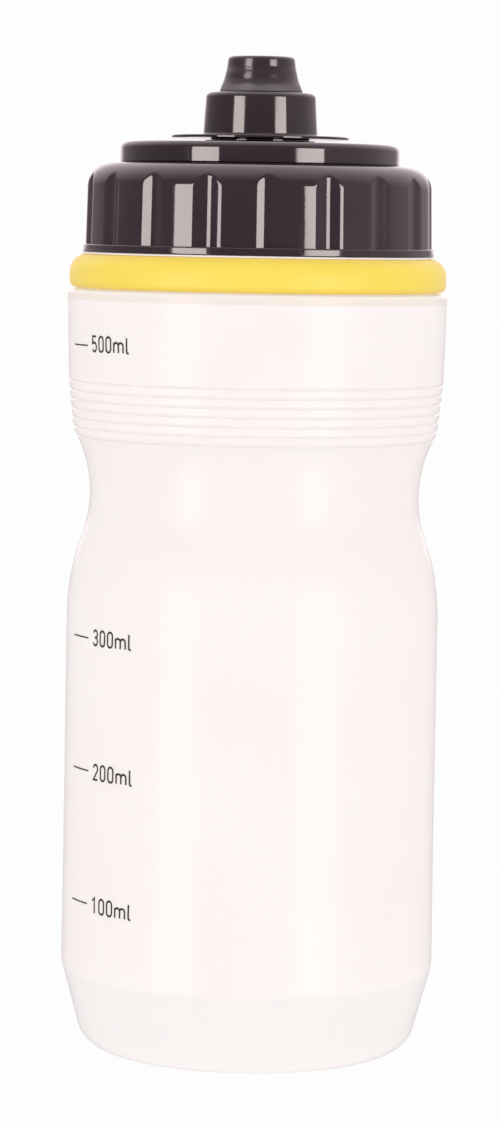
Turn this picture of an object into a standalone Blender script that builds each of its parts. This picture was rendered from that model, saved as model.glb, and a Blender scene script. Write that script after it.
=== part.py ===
"""Bicycle water bottle with a screw cap and a pull-up spout.

Frame: origin at the centre of the base, on the surface that the bottle stands on. +Z is up, along
the axis of the bottle. The printed scale would be seen from -Y, a little to the -X side.
Outlines are half sections, written as (radius, height) in millimetres.
"""

import math

import bmesh
import bpy
from mathutils import Matrix

MM = 0.001

# Clearance between pieces that touch.
GAP = 0.3

# Bottle body.
BODY_STEPS = 40
BASE_CONTACT_INNER = 25.3
FOOT_ROUND = 6.0
BASE_RISE = 4.0
CHAMFER_FOOT_RADIUS = 32.14
CHAMFER_TOP_HEIGHT = 17.0
LOWER_RADIUS = 36.72
LOWER_TOP_RADIUS = 36.5
BELLY_TOP = 85.5
BELLY_CURVE = 46.0
WAIST_HEIGHT = 109.5
WAIST_RADIUS = 32.28
WAIST_CURVE = 24.5
GROOVE_COUNT = 7
GROOVE_LOWEST = 120.7
GROOVE_PITCH = 1.8
GROOVE_BELOW = 0.35
GROOVE_ABOVE = 0.8
GROOVE_DEPTH = 0.3
GRIP_LOW_RADIUS = 35.5
GRIP_TOP_RADIUS = 36.62
BAND_BOTTOM = 133.5
BAND_BOTTOM_RADIUS = 36.7
BAND_TOP_RADIUS = 37.1
SHOULDER_HEIGHT = 148.4
LAND_RADIUS = 34.4
LAND_HEIGHT = 149.2
NECK_RADIUS = 29.6
NECK_BORE = 28.0
NECK_TOP = 170.4
WALL = 1.2

# Screw thread between the neck and the cap: one start, right-hand.
THREAD_LEAD = 6.0
THREAD_HALF_ROOT = 1.3
THREAD_HALF_CREST = 0.55
THREAD_RUN_OUT = 15.0
THREAD_STEP = 10.0
NECK_THREAD_CREST = 30.9
NECK_THREAD_START_HEIGHT = 160.2
NECK_THREAD_ANGLES = (0.0, 450.0)
CAP_THREAD_CREST = 30.0
CAP_THREAD_DROP = 2.05
CAP_THREAD_ANGLES = (60.0, 430.0)

# Soft ring round the neck.
RING_RADIUS = 36.8
RING_BOTTOM = LAND_HEIGHT + GAP
RING_TOP = 156.1
RING_TOP_ROUND = 3.5
RING_BOTTOM_ROUND = 1.5

# Cap.
FLUTES = 18
STEPS_PER_FLUTE = 6
FLUTE_PHASE = -90.0 + 2.9
FLUTE_HALF_WIDTH = 3.1
FLUTE_DEPTH = 0.72
CAP_BOTTOM = 156.5
LIP_RADIUS = 34.3
LIP_TOP = 158.0
CAP_SIDE_RADIUS = 33.85
CAP_SHOULDER_RADIUS = 33.6
CAP_SHOULDER_HEIGHT = 169.2
CAP_SHOULDER_ROUND = 4.7
CAP_TOP = CAP_SHOULDER_HEIGHT + CAP_SHOULDER_ROUND
CAP_BORE = 31.3
CAP_CEILING = 172.1
BORE_SEAL_RADIUS = 27.6
BORE_SEAL_BOTTOM = 168.8
CAP_HOLE = 14.3

# Valve plate on the cap, and its hub through the hole in the cap.
ROUND_STEPS = 28
PLATE_RADIUS = 27.25
PLATE_BOTTOM = CAP_TOP + GAP
PLATE_TOP = 178.0
PLATE_ROUND = 1.3
BOSS_RADIUS = 10.8
BOSS_TOP = 178.5
WELL_RADIUS = 10.0
WELL_FLOOR = 175.9
HUB_RADIUS = CAP_HOLE - GAP
HUB_BOTTOM = 168.5
HUB_BORE = 12.3
HUB_UPPER_BORE = 10.3
HUB_SHELF = 171.4
HUB_BEAD = 0.9
RETAINER_SEAT = 169.6
RETAINER_RADIUS = 18.0
HUB_GROOVE = (172.2, 173.8)
PLATE_CORE_RADIUS = 16.0
PLATE_CORE_TOP = 176.2
PLATE_RIM = 1.7
SEAL_SECTION = 0.5

# Valve stem and its centre pin.
STEM_RADIUS = 6.6
STEM_BORE = 5.0
STEM_TOP = 185.7
STEM_FLANGE = 7.9
STEM_STOP = 182.8
STEM_GROOVE = (183.4, 185.0)
PIN_RADIUS = 2.2
PIN_BOTTOM = 178.0
PIN_TOP = 194.1
SPOKES = 3
SPOKE_WIDTH = 1.6
SPOKE_HEIGHT = 3.0

# Pull-up spout: collar with a brim and a chimney, and the soft tip that snaps onto the chimney.
BRIM_RADIUS = 17.4
BRIM_BOTTOM = BOSS_TOP + 0.35
COLLAR_FOOT_RADIUS = 11.2
COLLAR_TOP_RADIUS = 10.7
COLLAR_TOP = 187.8
COLLAR_BORE = 8.2
COLLAR_SLEEVE = 9.6
COLLAR_LIP_BOTTOM = WELL_FLOOR + GAP
COLLAR_ROOF = 186.1
CHIMNEY_RADIUS = 4.9
CHIMNEY_BORE = 3.9
CHIMNEY_TOP = 192.6
CHIMNEY_BEAD = (190.2, 191.6)
CHIMNEY_BEAD_SIZE = 0.6
TIP_FOOT_RADIUS = 8.19
TIP_TOP_RADIUS = 6.45
TIP_TOP = 194.8
TIP_STRAIGHT_FROM = 1.18
TIP_ORIFICE = PIN_RADIUS + GAP


def clear_scene():
    for item in list(bpy.data.objects):
        bpy.data.objects.remove(item, do_unlink=True)


def material(name, colour, roughness, metallic=0.0, transmission=0.0):
    made = bpy.data.materials.new(name)
    made.use_nodes = True
    shader = made.node_tree.nodes["Principled BSDF"]
    shader.inputs["Base Color"].default_value = (*colour, 1.0)
    shader.inputs["Roughness"].default_value = roughness
    shader.inputs["Metallic"].default_value = metallic
    shader.inputs["Transmission Weight"].default_value = transmission
    return made


def arc(centre, radius, start_deg, end_deg, pieces):
    """Points on an arc of a half section, both ends included."""
    points = []
    for i in range(pieces + 1):
        angle = math.radians(start_deg + (end_deg - start_deg) * i / pieces)
        points.append((centre[0] + radius * math.cos(angle), centre[1] + radius * math.sin(angle)))
    return points


def add_object(name, bm, surface):
    bmesh.ops.recalc_face_normals(bm, faces=bm.faces)
    mesh = bpy.data.meshes.new(name)
    bm.to_mesh(mesh)
    bm.free()
    mesh.materials.append(surface)
    mesh.shade_smooth()
    mesh.set_sharp_from_angle(angle=math.radians(30))
    made = bpy.data.objects.new(name, mesh)
    bpy.context.scene.collection.objects.link(made)
    return made


def turned_mesh(outline, steps):
    """Spins a closed half section about the Z axis; points at radius 0 close on the axis."""
    bm = bmesh.new()
    verts = [bm.verts.new((r * MM, 0.0, z * MM)) for r, z in outline]
    edges = [bm.edges.new(pair) for pair in zip(verts, verts[1:])]
    if outline[0][0] > 0.0 or outline[-1][0] > 0.0:
        edges.append(bm.edges.new((verts[-1], verts[0])))
    bmesh.ops.spin(bm, geom=verts + edges, cent=(0, 0, 0), axis=(0, 0, 1),
                   angle=math.tau, steps=steps, use_merge=True)
    bmesh.ops.remove_doubles(bm, verts=bm.verts, dist=1e-6)
    return bm


def turned(name, outline, steps, surface):
    return add_object(name, turned_mesh(outline, steps), surface)


def ring_section(centre_radius, centre_height, section):
    """Round section of an O-ring, as a hexagon."""
    return arc((centre_radius, centre_height), section, 0.0, 300.0, 5)


def turn_about_z(angle):
    return Matrix.Rotation(angle, 3, 'Z')


def helper(made):
    made.hide_render = True
    made.display_type = 'WIRE'


def boolean(target, tool, operation):
    cut = target.modifiers.new(tool.name, 'BOOLEAN')
    cut.operation = operation
    cut.solver = 'EXACT'
    cut.object = tool
    helper(tool)


def thread_ridge(name, wall, crest, angles, height_at_zero, surface):
    """Helical ridge on a round wall, sunk a little into it, with both ends run out into it."""
    sink = math.copysign(0.4, wall - crest)
    start, end = angles
    turns = round((end - start) / THREAD_STEP)
    bm = bmesh.new()
    rows = []
    for i in range(turns + 1):
        degrees = start + (end - start) * i / turns
        angle = math.radians(degrees)
        height = height_at_zero + THREAD_LEAD * degrees / 360.0
        grown = min(1.0, (degrees - start) / THREAD_RUN_OUT, (end - degrees) / THREAD_RUN_OUT)
        top = wall + sink * 0.5 + (crest - wall - sink * 0.5) * grown
        section = [(wall + sink, -THREAD_HALF_ROOT), (top, -THREAD_HALF_CREST),
                   (top, THREAD_HALF_CREST), (wall + sink, THREAD_HALF_ROOT)]
        rows.append([bm.verts.new((r * MM * math.cos(angle), r * MM * math.sin(angle),
                                   (height + offset) * MM)) for r, offset in section])
    for low, high in zip(rows, rows[1:]):
        for j in range(4):
            bm.faces.new((low[j], low[(j + 1) % 4], high[(j + 1) % 4], high[j]))
    bm.faces.new(rows[0])
    bm.faces.new(rows[-1])
    return add_object(name, bm, surface)


def body_radius(height):
    """Outside radius of the body from the belly up to the grip grooves: two arcs that meet."""
    if height <= BELLY_TOP:
        return LOWER_TOP_RADIUS
    lean = math.acos(1.0 - (LOWER_TOP_RADIUS - WAIST_RADIUS) / (BELLY_CURVE + WAIST_CURVE))
    if height < WAIST_HEIGHT - WAIST_CURVE * math.sin(lean):
        drop = height - BELLY_TOP
        return LOWER_TOP_RADIUS - BELLY_CURVE + math.sqrt(BELLY_CURVE ** 2 - drop ** 2)
    rise = height - WAIST_HEIGHT
    return WAIST_RADIUS + WAIST_CURVE - math.sqrt(WAIST_CURVE ** 2 - rise ** 2)


def base_outline(offset):
    """Base from the axis to the chamfer's top edge; offset is the distance inside the outer skin."""
    slope = math.atan2(LOWER_RADIUS - CHAMFER_FOOT_RADIUS, CHAMFER_TOP_HEIGHT)
    foot_height = FOOT_ROUND * (1.0 - math.sin(slope))
    foot_radius = CHAMFER_FOOT_RADIUS + foot_height * math.tan(slope) - FOOT_ROUND * math.cos(slope)
    points = []
    for share in (0.0, 0.35, 0.65, 0.88):
        points.append((BASE_CONTACT_INNER * share, offset + BASE_RISE * (1.0 - share ** 2)))
    points.append((BASE_CONTACT_INNER, offset))
    points += arc((foot_radius, FOOT_ROUND), FOOT_ROUND - offset, -90.0,
                  -math.degrees(slope), 4)
    points.append((LOWER_RADIUS - offset, CHAMFER_TOP_HEIGHT + offset * 0.15))
    return points


def grip_radius(height):
    """Outside radius between the grooves: the waist's curve, then a cone that widens upwards."""
    share = (height - GROOVE_LOWEST) / (GROOVE_PITCH * (GROOVE_COUNT - 1))
    cone = GRIP_LOW_RADIUS + (GRIP_TOP_RADIUS - GRIP_LOW_RADIUS) * share
    return min(cone, body_radius(height))


def grip_outline():
    """Seven fine V grooves, steeper on the lower side, with plain rings between them."""
    points = []
    for i in range(GROOVE_COUNT):
        height = GROOVE_LOWEST + GROOVE_PITCH * i
        for step, depth in ((-GROOVE_BELOW, 0.0), (0.0, GROOVE_DEPTH), (GROOVE_ABOVE, 0.0)):
            points.append((grip_radius(height + step) - depth, height + step))
    return points


def body_outline():
    outer = base_outline(0.0)
    outer.append((LOWER_TOP_RADIUS + 0.05, 50.0))
    for height in (85.5, 90.0, 95.0, 100.0, 104.8, 109.5, 113.7, 117.0, 119.3):
        outer.append((body_radius(height), height))
    outer += grip_outline()
    outer += [(BAND_BOTTOM_RADIUS, BAND_BOTTOM),
              (BAND_TOP_RADIUS, SHOULDER_HEIGHT - 0.3), (BAND_TOP_RADIUS - 0.3, SHOULDER_HEIGHT),
              (LAND_RADIUS, LAND_HEIGHT), (NECK_RADIUS, LAND_HEIGHT), (NECK_RADIUS, NECK_TOP - 0.4),
              (NECK_RADIUS - 0.4, NECK_TOP), (NECK_BORE + 0.3, NECK_TOP),
              (NECK_BORE, NECK_TOP - 0.3), (NECK_BORE, SHOULDER_HEIGHT - WALL - 0.6),
              (NECK_BORE + 0.8, SHOULDER_HEIGHT - WALL - 1.2),
              (BAND_TOP_RADIUS - WALL - 1.0, SHOULDER_HEIGHT - WALL - 1.2)]
    inner = [(GRIP_TOP_RADIUS - WALL, 132.5), (GRIP_LOW_RADIUS - WALL, 121.6)]
    for height in (117.0, 113.0, 109.5, 104.0, 99.0, 93.0, 85.5):
        inner.append((body_radius(height) - WALL, height))
    return outer + inner + base_outline(WALL)[::-1]


def make_body(surface):
    body = turned("bottle_body", body_outline(), BODY_STEPS, surface)
    ridge = thread_ridge("neck_thread", NECK_RADIUS, NECK_THREAD_CREST, NECK_THREAD_ANGLES,
                         NECK_THREAD_START_HEIGHT, surface)
    boolean(body, ridge, 'UNION')


def make_neck_ring(surface):
    inner = NECK_RADIUS + GAP + 0.1
    outline = [(inner, RING_BOTTOM + 0.3), (inner + 0.3, RING_BOTTOM)]
    outline += arc((RING_RADIUS - RING_BOTTOM_ROUND, RING_BOTTOM + RING_BOTTOM_ROUND),
                   RING_BOTTOM_ROUND, -90.0, 0.0, 3)
    outline += arc((RING_RADIUS - RING_TOP_ROUND, RING_TOP - RING_TOP_ROUND),
                   RING_TOP_ROUND, 0.0, 90.0, 4)
    outline += [(inner + 0.3, RING_TOP), (inner, RING_TOP - 0.3)]
    turned("neck_ring", outline, BODY_STEPS, surface)


def cap_outline():
    seal_inner = BORE_SEAL_RADIUS - WALL
    outline = [(CAP_BORE + 0.4, CAP_BOTTOM), (LIP_RADIUS - 0.2, CAP_BOTTOM),
               (LIP_RADIUS, CAP_BOTTOM + 0.2), (LIP_RADIUS, LIP_TOP - 0.15),
               (LIP_RADIUS - 0.15, LIP_TOP), (CAP_SIDE_RADIUS, LIP_TOP + 0.01)]
    outline += arc((CAP_SHOULDER_RADIUS - CAP_SHOULDER_ROUND, CAP_SHOULDER_HEIGHT),
                   CAP_SHOULDER_ROUND, 0.0, 90.0, 5)
    outline += [(CAP_HOLE, CAP_TOP), (CAP_HOLE, CAP_CEILING), (seal_inner, CAP_CEILING),
                (seal_inner, BORE_SEAL_BOTTOM), (BORE_SEAL_RADIUS, BORE_SEAL_BOTTOM),
                (BORE_SEAL_RADIUS, CAP_CEILING), (CAP_BORE - 0.3, CAP_CEILING),
                (CAP_BORE, CAP_CEILING - 0.3), (CAP_BORE, CAP_BOTTOM + 0.6)]
    return outline


def flute_dip(angle):
    """How deep the smooth, shallow, upright flutes go at an angle round the cap."""
    pitch = math.tau / FLUTES
    turn = (angle - math.radians(FLUTE_PHASE)) % pitch
    aside = min(turn, pitch - turn) * CAP_SIDE_RADIUS
    if aside >= FLUTE_HALF_WIDTH:
        return 0.0
    return FLUTE_DEPTH * (1.0 + math.cos(math.pi * aside / FLUTE_HALF_WIDTH)) / 2


def make_cap(surface):
    bm = turned_mesh(cap_outline(), FLUTES * STEPS_PER_FLUTE)
    bmesh.ops.rotate(bm, verts=bm.verts, cent=(0, 0, 0),
                     matrix=turn_about_z(math.radians(FLUTE_PHASE)))
    for vert in bm.verts:
        radius = math.hypot(vert.co.x, vert.co.y) / MM
        height = vert.co.z / MM
        dip = flute_dip(math.atan2(vert.co.y, vert.co.x))
        limit = max(radius, CAP_SHOULDER_RADIUS) - dip
        if height > LIP_TOP + 0.005 and radius > limit:
            vert.co.x *= limit / radius
            vert.co.y *= limit / radius
    cap = add_object("cap_shell", bm, surface)
    ridge = thread_ridge("cap_thread", CAP_BORE, CAP_THREAD_CREST, CAP_THREAD_ANGLES,
                         NECK_THREAD_START_HEIGHT - CAP_THREAD_DROP, surface)
    boolean(cap, ridge, 'UNION')


def make_gasket(surface):
    inner = BORE_SEAL_RADIUS + GAP + 0.05
    outer = CAP_BORE - GAP - 0.05
    bottom = NECK_TOP + GAP
    top = CAP_CEILING - GAP
    turned("cap_gasket", [(inner, bottom), (outer, bottom), (outer, top), (inner, top)],
           BODY_STEPS, surface)


def make_plate(surface):
    bead = HUB_RADIUS + HUB_BEAD
    groove = HUB_RADIUS - GAP - 2 * SEAL_SECTION
    core_outer = PLATE_RADIUS - PLATE_RIM
    outline = [(HUB_BORE, HUB_BOTTOM), (HUB_RADIUS, HUB_BOTTOM),
               (bead, RETAINER_SEAT - 0.7), (bead, RETAINER_SEAT - 0.3),
               (HUB_RADIUS, RETAINER_SEAT), (HUB_RADIUS, HUB_GROOVE[0]), (groove, HUB_GROOVE[0]),
               (groove, HUB_GROOVE[1]), (HUB_RADIUS, HUB_GROOVE[1]), (HUB_RADIUS, PLATE_BOTTOM),
               (PLATE_CORE_RADIUS, PLATE_BOTTOM), (PLATE_CORE_RADIUS, PLATE_CORE_TOP),
               (core_outer, PLATE_CORE_TOP), (core_outer, PLATE_BOTTOM),
               (PLATE_RADIUS - 0.2, PLATE_BOTTOM), (PLATE_RADIUS, PLATE_BOTTOM + 0.2)]
    outline += arc((PLATE_RADIUS - PLATE_ROUND, PLATE_TOP - PLATE_ROUND), PLATE_ROUND, 0, 90, 3)
    outline += [(BOSS_RADIUS, PLATE_TOP), (BOSS_RADIUS, BOSS_TOP), (WELL_RADIUS, BOSS_TOP),
                (WELL_RADIUS, WELL_FLOOR), (STEM_RADIUS + GAP, WELL_FLOOR),
                (STEM_RADIUS + GAP, WELL_FLOOR - 1.0), (HUB_UPPER_BORE, WELL_FLOOR - 1.0),
                (HUB_UPPER_BORE, HUB_SHELF), (HUB_BORE, HUB_SHELF)]
    turned("valve_plate", outline, ROUND_STEPS, surface)


def make_hub_seal(surface):
    middle = (HUB_GROOVE[0] + HUB_GROOVE[1]) / 2
    turned("hub_o_ring", ring_section(CAP_HOLE - GAP - SEAL_SECTION, middle, SEAL_SECTION),
           ROUND_STEPS, surface)


def make_retaining_ring(surface):
    bottom = RETAINER_SEAT + GAP
    top = CAP_CEILING - GAP
    outline = [(CAP_HOLE, bottom), (RETAINER_RADIUS - 0.3, bottom),
               (RETAINER_RADIUS, bottom + 0.3), (RETAINER_RADIUS, top), (CAP_HOLE, top)]
    turned("retaining_ring", outline, ROUND_STEPS, surface)


def make_stem(surface):
    flange_top = HUB_SHELF - GAP
    outline = [(STEM_BORE, flange_top - 1.2), (HUB_BORE - GAP, flange_top - 1.2),
               (HUB_BORE - GAP, flange_top), (STEM_RADIUS, flange_top), (STEM_RADIUS, STEM_STOP),
               (STEM_FLANGE, STEM_STOP), (STEM_FLANGE, STEM_GROOVE[0]),
               (STEM_RADIUS, STEM_GROOVE[0]), (STEM_RADIUS, STEM_GROOVE[1]),
               (STEM_FLANGE, STEM_GROOVE[1]), (STEM_FLANGE, STEM_TOP - 0.3),
               (STEM_FLANGE - 0.3, STEM_TOP), (STEM_BORE, STEM_TOP)]
    stem = turned("valve_stem", outline, ROUND_STEPS, surface)
    pin = turned("centre_pin", [(0.0, PIN_BOTTOM), (PIN_RADIUS, PIN_BOTTOM + 0.8),
                                (PIN_RADIUS, PIN_TOP - 0.6), (PIN_RADIUS - 0.6, PIN_TOP),
                                (0.0, PIN_TOP)], 24, surface)
    for i in range(SPOKES):
        boolean(pin, make_spoke(i, surface), 'UNION')
    boolean(stem, pin, 'UNION')


def make_spoke(index, surface):
    """Radial web from the centre pin to the wall of the stem."""
    start = PIN_RADIUS - 0.5
    end = (STEM_BORE + STEM_RADIUS) / 2
    bm = bmesh.new()
    bmesh.ops.create_cube(bm, size=1.0)
    bmesh.ops.scale(bm, verts=bm.verts, vec=((end - start) * MM, SPOKE_WIDTH * MM, SPOKE_HEIGHT * MM))
    bmesh.ops.translate(bm, verts=bm.verts, vec=((start + end) / 2 * MM, 0.0,
                                                 (PIN_BOTTOM + 1.0 + SPOKE_HEIGHT / 2) * MM))
    bmesh.ops.rotate(bm, verts=bm.verts, cent=(0, 0, 0),
                     matrix=turn_about_z(math.tau * index / SPOKES))
    return add_object("spoke_%d" % (index + 1), bm, surface)


def make_stem_seal(surface):
    middle = (STEM_GROOVE[0] + STEM_GROOVE[1]) / 2
    turned("stem_o_ring", ring_section(STEM_RADIUS + GAP + SEAL_SECTION, middle, SEAL_SECTION),
           ROUND_STEPS, surface)


def make_collar(surface):
    lip_top = COLLAR_LIP_BOTTOM + 0.8
    outline = [(STEM_RADIUS + GAP, COLLAR_LIP_BOTTOM), (COLLAR_SLEEVE, COLLAR_LIP_BOTTOM),
               (COLLAR_SLEEVE, BRIM_BOTTOM), (BRIM_RADIUS - 0.25, BRIM_BOTTOM),
               (BRIM_RADIUS, BRIM_BOTTOM + 0.25), (BRIM_RADIUS - 0.25, BRIM_BOTTOM + 0.55),
               (COLLAR_FOOT_RADIUS + 0.3, BRIM_BOTTOM + 0.8),
               (COLLAR_FOOT_RADIUS, BRIM_BOTTOM + 1.1)]
    outline += arc((COLLAR_TOP_RADIUS - 1.0, COLLAR_TOP - 1.0), 1.0, 0.0, 90.0, 4)
    bead = CHIMNEY_RADIUS + CHIMNEY_BEAD_SIZE
    outline += [(CHIMNEY_RADIUS, COLLAR_TOP), (CHIMNEY_RADIUS, CHIMNEY_BEAD[0]),
                (bead, CHIMNEY_BEAD[0] + 0.3), (bead, CHIMNEY_BEAD[1] - 0.7),
                (CHIMNEY_RADIUS, CHIMNEY_BEAD[1]), (CHIMNEY_RADIUS, CHIMNEY_TOP),
                (CHIMNEY_BORE, CHIMNEY_TOP), (CHIMNEY_BORE, COLLAR_ROOF),
                (COLLAR_BORE, COLLAR_ROOF), (COLLAR_BORE, lip_top),
                (STEM_RADIUS + GAP, lip_top)]
    turned("spout_collar", outline, ROUND_STEPS, surface)


def make_tip(surface):
    bore = CHIMNEY_RADIUS + GAP
    foot = COLLAR_TOP + GAP
    flare = TIP_FOOT_RADIUS - TIP_TOP_RADIUS
    waist = [(TIP_TOP_RADIUS + flare * (1.0 - share / TIP_STRAIGHT_FROM) ** 2,
              foot + (TIP_TOP - foot) * share) for share in (0.04, 0.2, 0.4, 0.65, 0.9)]
    outline = [(bore, foot), (TIP_FOOT_RADIUS - 0.25, foot)] + waist
    outline += arc((TIP_TOP_RADIUS - 0.6, TIP_TOP - 0.6), 0.6, 0.0, 90.0, 3)
    outline += [(TIP_ORIFICE + 0.5, TIP_TOP), (TIP_ORIFICE, TIP_TOP - 0.5),
                (TIP_ORIFICE, CHIMNEY_TOP + GAP), (bore, CHIMNEY_TOP + GAP),
                (bore, CHIMNEY_BEAD[1] + GAP), (bore + CHIMNEY_BEAD_SIZE, CHIMNEY_BEAD[1] - 0.3),
                (bore + CHIMNEY_BEAD_SIZE, CHIMNEY_BEAD[0]), (bore, CHIMNEY_BEAD[0] - 0.4)]
    turned("bite_tip", outline, ROUND_STEPS, surface)


def main():
    clear_scene()
    translucent = material("translucent_plastic", (0.93, 0.90, 0.88), 0.35, transmission=0.3)
    yellow = material("yellow_rubber", (0.97, 0.74, 0.12), 0.5)
    black = material("black_plastic", (0.035, 0.028, 0.030), 0.22)
    soft_black = material("black_soft_plastic", (0.040, 0.032, 0.034), 0.38)
    seal = material("seal_silicone", (0.75, 0.75, 0.73), 0.6)
    make_body(translucent)
    make_neck_ring(yellow)
    make_cap(black)
    make_gasket(seal)
    make_plate(black)
    make_hub_seal(seal)
    make_retaining_ring(black)
    make_stem(black)
    make_stem_seal(seal)
    make_collar(black)
    make_tip(soft_black)


main()
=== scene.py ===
"""Looks of the bicycle water bottle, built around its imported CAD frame.

Lengths are in millimetres unless a name ends in _M. Outlines are half sections written as
(radius, height), with the height above the base. Angles run anticlockwise seen from above, from +X.
"""

import math

import bmesh
import bpy
from mathutils import Matrix, Vector


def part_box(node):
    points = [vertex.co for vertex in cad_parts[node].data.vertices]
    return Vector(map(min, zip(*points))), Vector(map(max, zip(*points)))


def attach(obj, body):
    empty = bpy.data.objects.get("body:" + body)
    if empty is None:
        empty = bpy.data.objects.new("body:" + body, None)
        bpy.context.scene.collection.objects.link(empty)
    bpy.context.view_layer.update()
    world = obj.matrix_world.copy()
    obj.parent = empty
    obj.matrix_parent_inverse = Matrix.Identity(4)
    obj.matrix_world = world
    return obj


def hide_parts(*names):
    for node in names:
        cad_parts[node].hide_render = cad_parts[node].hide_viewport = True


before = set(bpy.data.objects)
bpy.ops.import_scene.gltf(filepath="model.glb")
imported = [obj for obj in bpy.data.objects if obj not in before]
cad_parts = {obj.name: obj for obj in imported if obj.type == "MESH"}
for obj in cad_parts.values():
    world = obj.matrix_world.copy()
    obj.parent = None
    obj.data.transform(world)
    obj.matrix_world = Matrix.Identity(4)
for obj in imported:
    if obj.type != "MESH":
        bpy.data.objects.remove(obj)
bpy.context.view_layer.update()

MM = 0.001

# Camera: 0.8 m in front of the bottle at the height of its cap, looking 5 degrees down.
CAMERA_PLACE_M = (-0.0006, -0.787, 0.1651)
CAMERA_DOWN_DEG = 5.0
CAMERA_ROLL_DEG = 0.98
CAMERA_LENS = 128.8
CAMERA_SENSOR = 36.0

# Studio.
PAPER_WHITE = 0.982
FLOOR_SIDE_M = 8.0
FLOOR_BELOW_M = 0.0001
STRIP_AZIMUTHS = (-45.0, 41.5)
STRIP_DISTANCE_M = 1.1
STRIP_WIDTH_M = 0.455
STRIP_LEVELS_M = (-0.6, 0.375)
STRIP_TIP_LEVELS_M = (0.455, 0.6, 0.95)
STRIP_TOP_SHARE = 0.5
STRIP_RADIANCE = 11.7
STRIP_COLOUR = (1.0, 0.915, 0.87)

# Light that the pieces mirror from their surroundings: its level at the side and in front, to the
# right, behind and above, and between which parts of the direction (X, Y, Z) each of these comes in.
MIRROR_COLOUR = (1.0, 0.88, 0.93)
MIRROR_SIDE = 0.45
MIRROR_RIGHT = 0.85
MIRROR_RIGHT_X = (0.45, 0.85)
MIRROR_BEHIND = 1.3
MIRROR_BEHIND_Y = (0.88, 0.94)
MIRROR_BEHIND_Z = (-0.03, -0.01)
MIRROR_TOP = 2.3
MIRROR_TOP_Z = (0.3, 1.0)
MIRROR_LEAN = 0.35

# Soft light from the surroundings: its level in front and at the sides, and where it changes.
SOFT_FRONT = 1.1
SOFT_SIDE = 0.75
SOFT_SIDE_X = (0.35, 1.0)

# How finely round pieces are turned.
ROUND_STEPS = 256
SMALL_STEPS = 144
PIN_STEPS = 64
FILLET_STEP_DEG = 10.0
SHARP_DEG = 50.0

# A radius below ON_AXIS is a point on the axis. Radii within SAME_RADIUS of each other are the same,
# and points of a stroke within SAME_POINT.
ON_AXIS = 1e-6
SAME_RADIUS = 0.01
SAME_POINT = 1e-4

# Bottle body.
WALL = 1.2
BASE_CONTACT_INNER = 25.3
BASE_CONTACT_ROUND = 2.5
BASE_RISE = 4.0
FOOT_ROUND = 6.0
CHAMFER_FOOT_RADIUS = 32.14
CHAMFER_TOP_HEIGHT = 17.0
CHAMFER_TOP_ROUND = 7.0
CHAMFER_TOP_RISE = 0.15
LOWER_RADIUS = 36.72
LOWER_TOP_RADIUS = 36.5
LOWER_TAPER = 20.0
BELLY_TOP = 85.5
BELLY_CURVE = 46.0
WAIST_HEIGHT = 109.5
WAIST_RADIUS = 32.28
WAIST_CURVE = 24.5
GROOVE_COUNT = 7
GROOVE_LOWEST = 120.7
GROOVE_PITCH = 1.8
GROOVE_BELOW = 0.2
GROOVE_ABOVE = 0.5
GROOVE_DEPTH = 0.24
GRIP_LOW_RADIUS = 35.5
GRIP_TOP_RADIUS = 36.62
BAND_BOTTOM = 133.5
BAND_BOTTOM_RADIUS = 36.7
SHOULDER_HEIGHT = 149.1
LAND_RADIUS = 34.4
LAND_HEIGHT = 149.48
NECK_BEAD_RADIUS = 34.5
NECK_BEAD = (156.13, 156.45)
NECK_RADIUS = 29.6
NECK_BORE = 28.0

# The body's material: how deep light goes in, the half width of the parting line and of its edge, and
# where the colour changes: the foot is painted greyer, painted shade (down from the top of the
# chamfer), and the rim under the soft ring is painted darker, painted shade for less light through
# the thicker wall, then lighter near the ring, painted light (from the shoulder).
SUBSURFACE_M = 0.0015
SEAM_M = (0.0001, 0.0004)
FOOT_SHADE_BELOW = (1.5, 0.3)
RIM_SHADE_BELOW = 1.95
RIM_SHADE_BLEND = 0.35
RIM_PAINTED_LIGHT = (-0.7, 0.2)

# Soft ring round the neck, seated on the body's land.
RING_SEAT = 0.02
RING_LOOSE = 0.4
RING_TOP_ROUND = 3.5
RING_BOTTOM_ROUND = 1.5

# Screw thread: one start, right-hand.
THREAD_LEAD = 6.0
THREAD_HALF_ROOT = 1.2
THREAD_HALF_CREST = 0.45
THREAD_RUN_OUT = 15.0
NECK_THREAD_CREST = 30.9
NECK_THREAD_START = 160.2
NECK_THREAD_ANGLES = (0.0, 450.0)
CAP_THREAD_CREST = 30.0
CAP_THREAD_START = NECK_THREAD_START - 2.05
CAP_THREAD_ANGLES = (60.0, 430.0)
THREAD_ROW = 0.28
NECK_THREAD_ROWS = (157.0, 169.5)
CAP_THREAD_TOP = 169.6

# Cap.
FLUTES = 18
FLUTE_PHASE = -90.0 + 2.9
FLUTE_HALF_WIDTH = 3.1
FLUTE_DEPTH = 0.7
FLUTE_EDGE_ROUND = 0.25
LIP_HEIGHT = 1.5
LIP_STEP = 0.45
CAP_SHOULDER_ROUND = 4.7
CAP_SHOULDER_INSET = 0.25
CAP_BORE = 31.3
CAP_ROOF = 1.8
BORE_SEAL_RADIUS = 27.6
BORE_SEAL_BOTTOM = 168.8
CAP_HOLE = 14.3

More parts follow.
